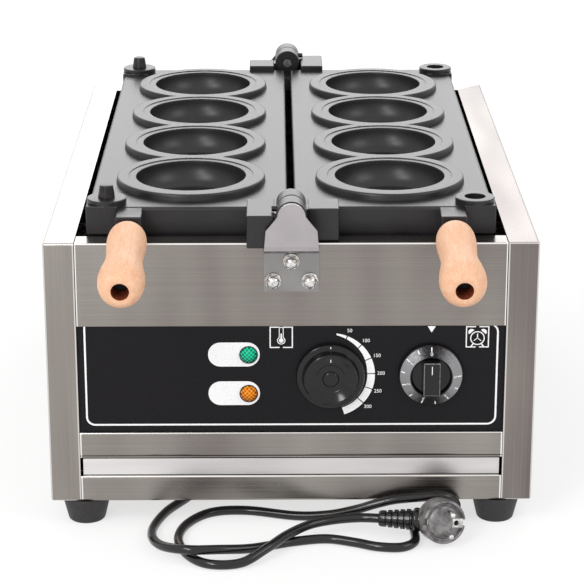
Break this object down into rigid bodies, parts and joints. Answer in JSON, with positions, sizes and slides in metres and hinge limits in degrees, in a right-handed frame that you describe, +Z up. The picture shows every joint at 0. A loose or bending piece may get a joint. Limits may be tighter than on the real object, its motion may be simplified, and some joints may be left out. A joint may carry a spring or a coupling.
{
  "type": "burger maker",
  "caption": "Countertop press for round filled burgers: two hinged cast moulds with wooden grips on a stainless box with knobs, lamps and a drip tray.",
  "frame": {"origin": "on the floor under the feet, midway across the body and midway between the tips of the wooden grips and the rear hinge bracket", "axes": "+X to the right seen from the front, +Y to the rear, +Z up; both moulds lie open at rest"},
  "size_m": [0.43, 0.8223, 0.309],
  "materials": {
    "stainless_sheet": "brushed stainless sheet",
    "bright_steel": "plain bright steel",
    "dark_steel": "dark oxidised steel",
    "mould_casting": "dark non-stick coated casting",
    "grip_wood": "turned pale wood, satin",
    "foot_rubber": "matt black rubber",
    "cord_sheath": "matt black sheath",
    "black_plastic": "satin black",
    "grey_plastic": "moulded dark grey",
    "cream_plastic": "plain moulded",
    "green_lens": "clear green lens",
    "amber_lens": "clear amber lens"
  },
  "bodies": {
    "body": {"left_side_panel": "stainless_sheet", "right_side_panel": "stainless_sheet", "front_panel": "stainless_sheet", "rear_panel": "stainless_sheet", "control_panel": "stainless_sheet", "upper_front_rail": "stainless_sheet", "lower_front_rail": "stainless_sheet", "base_plate": "stainless_sheet", "heat_shield": "stainless_sheet", "left_tray_runner": "stainless_sheet", "right_tray_runner": "stainless_sheet", "front_heater_rail": "stainless_sheet", "rear_heater_rail": "stainless_sheet", "front_hinge_bracket": "stainless_sheet", "rear_hinge_bracket": "stainless_sheet", "front_pivot_pin": "bright_steel", "rear_pivot_pin": "bright_steel", "front_hinge_washer": "bright_steel", "rear_hinge_washer": "bright_steel", "front_upper_nut": "bright_steel", "front_left_nut": "bright_steel", "front_right_nut": "bright_steel", "rear_upper_nut": "bright_steel", "rear_left_nut": "bright_steel", "rear_right_nut": "bright_steel", "plug_pin_lower": "bright_steel", "plug_pin_upper": "bright_steel", "left_heater": "dark_steel", "right_heater": "dark_steel", "front_left_foot": "foot_rubber", "front_right_foot": "foot_rubber", "rear_left_foot": "foot_rubber", "rear_right_foot": "foot_rubber", "power_cord": "cord_sheath", "control_overlay": "black_plastic", "cord_gland": "black_plastic", "plug": "grey_plastic", "timer_body": "cream_plastic", "thermostat_body": "cream_plastic", "terminal_block": "cream_plastic", "green_lamp": "green_lens", "amber_lamp": "amber_lens"},
    "left_mould_group": {"left_mould": "mould_casting", "left_bush_screw": "dark_steel", "left_handle_rod": "bright_steel", "left_grip": "grip_wood", "left_grip_nut": "dark_steel", "front_locating_pin": "dark_steel", "rear_locating_pin": "dark_steel"},
    "right_mould_group": {"right_mould": "mould_casting", "right_bush_screw": "dark_steel", "right_handle_rod": "bright_steel", "right_grip": "grip_wood", "right_grip_nut": "dark_steel"},
    "tray": {"drip_tray": "bright_steel"},
    "thermostat_dial": {"thermostat_knob": "black_plastic", "thermostat_shaft": "bright_steel"},
    "timer_dial": {"timer_knob": "black_plastic", "timer_shaft": "bright_steel"}
  },
  "joints": [
    {"name": "left_mould_hinge", "type": "hinge", "parent": "body", "child": "left_mould_group", "pos_m": [0, 0.04723, 0.296], "axis": [0, 1, 0], "range_deg": [0, 180]},
    {"name": "right_mould_hinge", "type": "hinge", "parent": "body", "child": "right_mould_group", "pos_m": [0, 0.04723, 0.296], "axis": [0, 1, 0], "range_deg": [-180, 0]},
    {"name": "tray_slide", "type": "slide", "parent": "body", "child": "tray", "axis": [0, -1, 0], "range_m": [0, 0.45]},
    {"name": "thermostat_turn", "type": "hinge", "parent": "body", "child": "thermostat_dial", "pos_m": [0.03441, -0.24677, 0.14396], "axis": [0, 1, 0], "range_deg": [0, 270]},
    {"name": "timer_turn", "type": "hinge", "parent": "body", "child": "timer_dial", "pos_m": [0.12276, -0.24677, 0.14498], "axis": [0, 1, 0], "range_deg": [0, 270]}
  ]
}
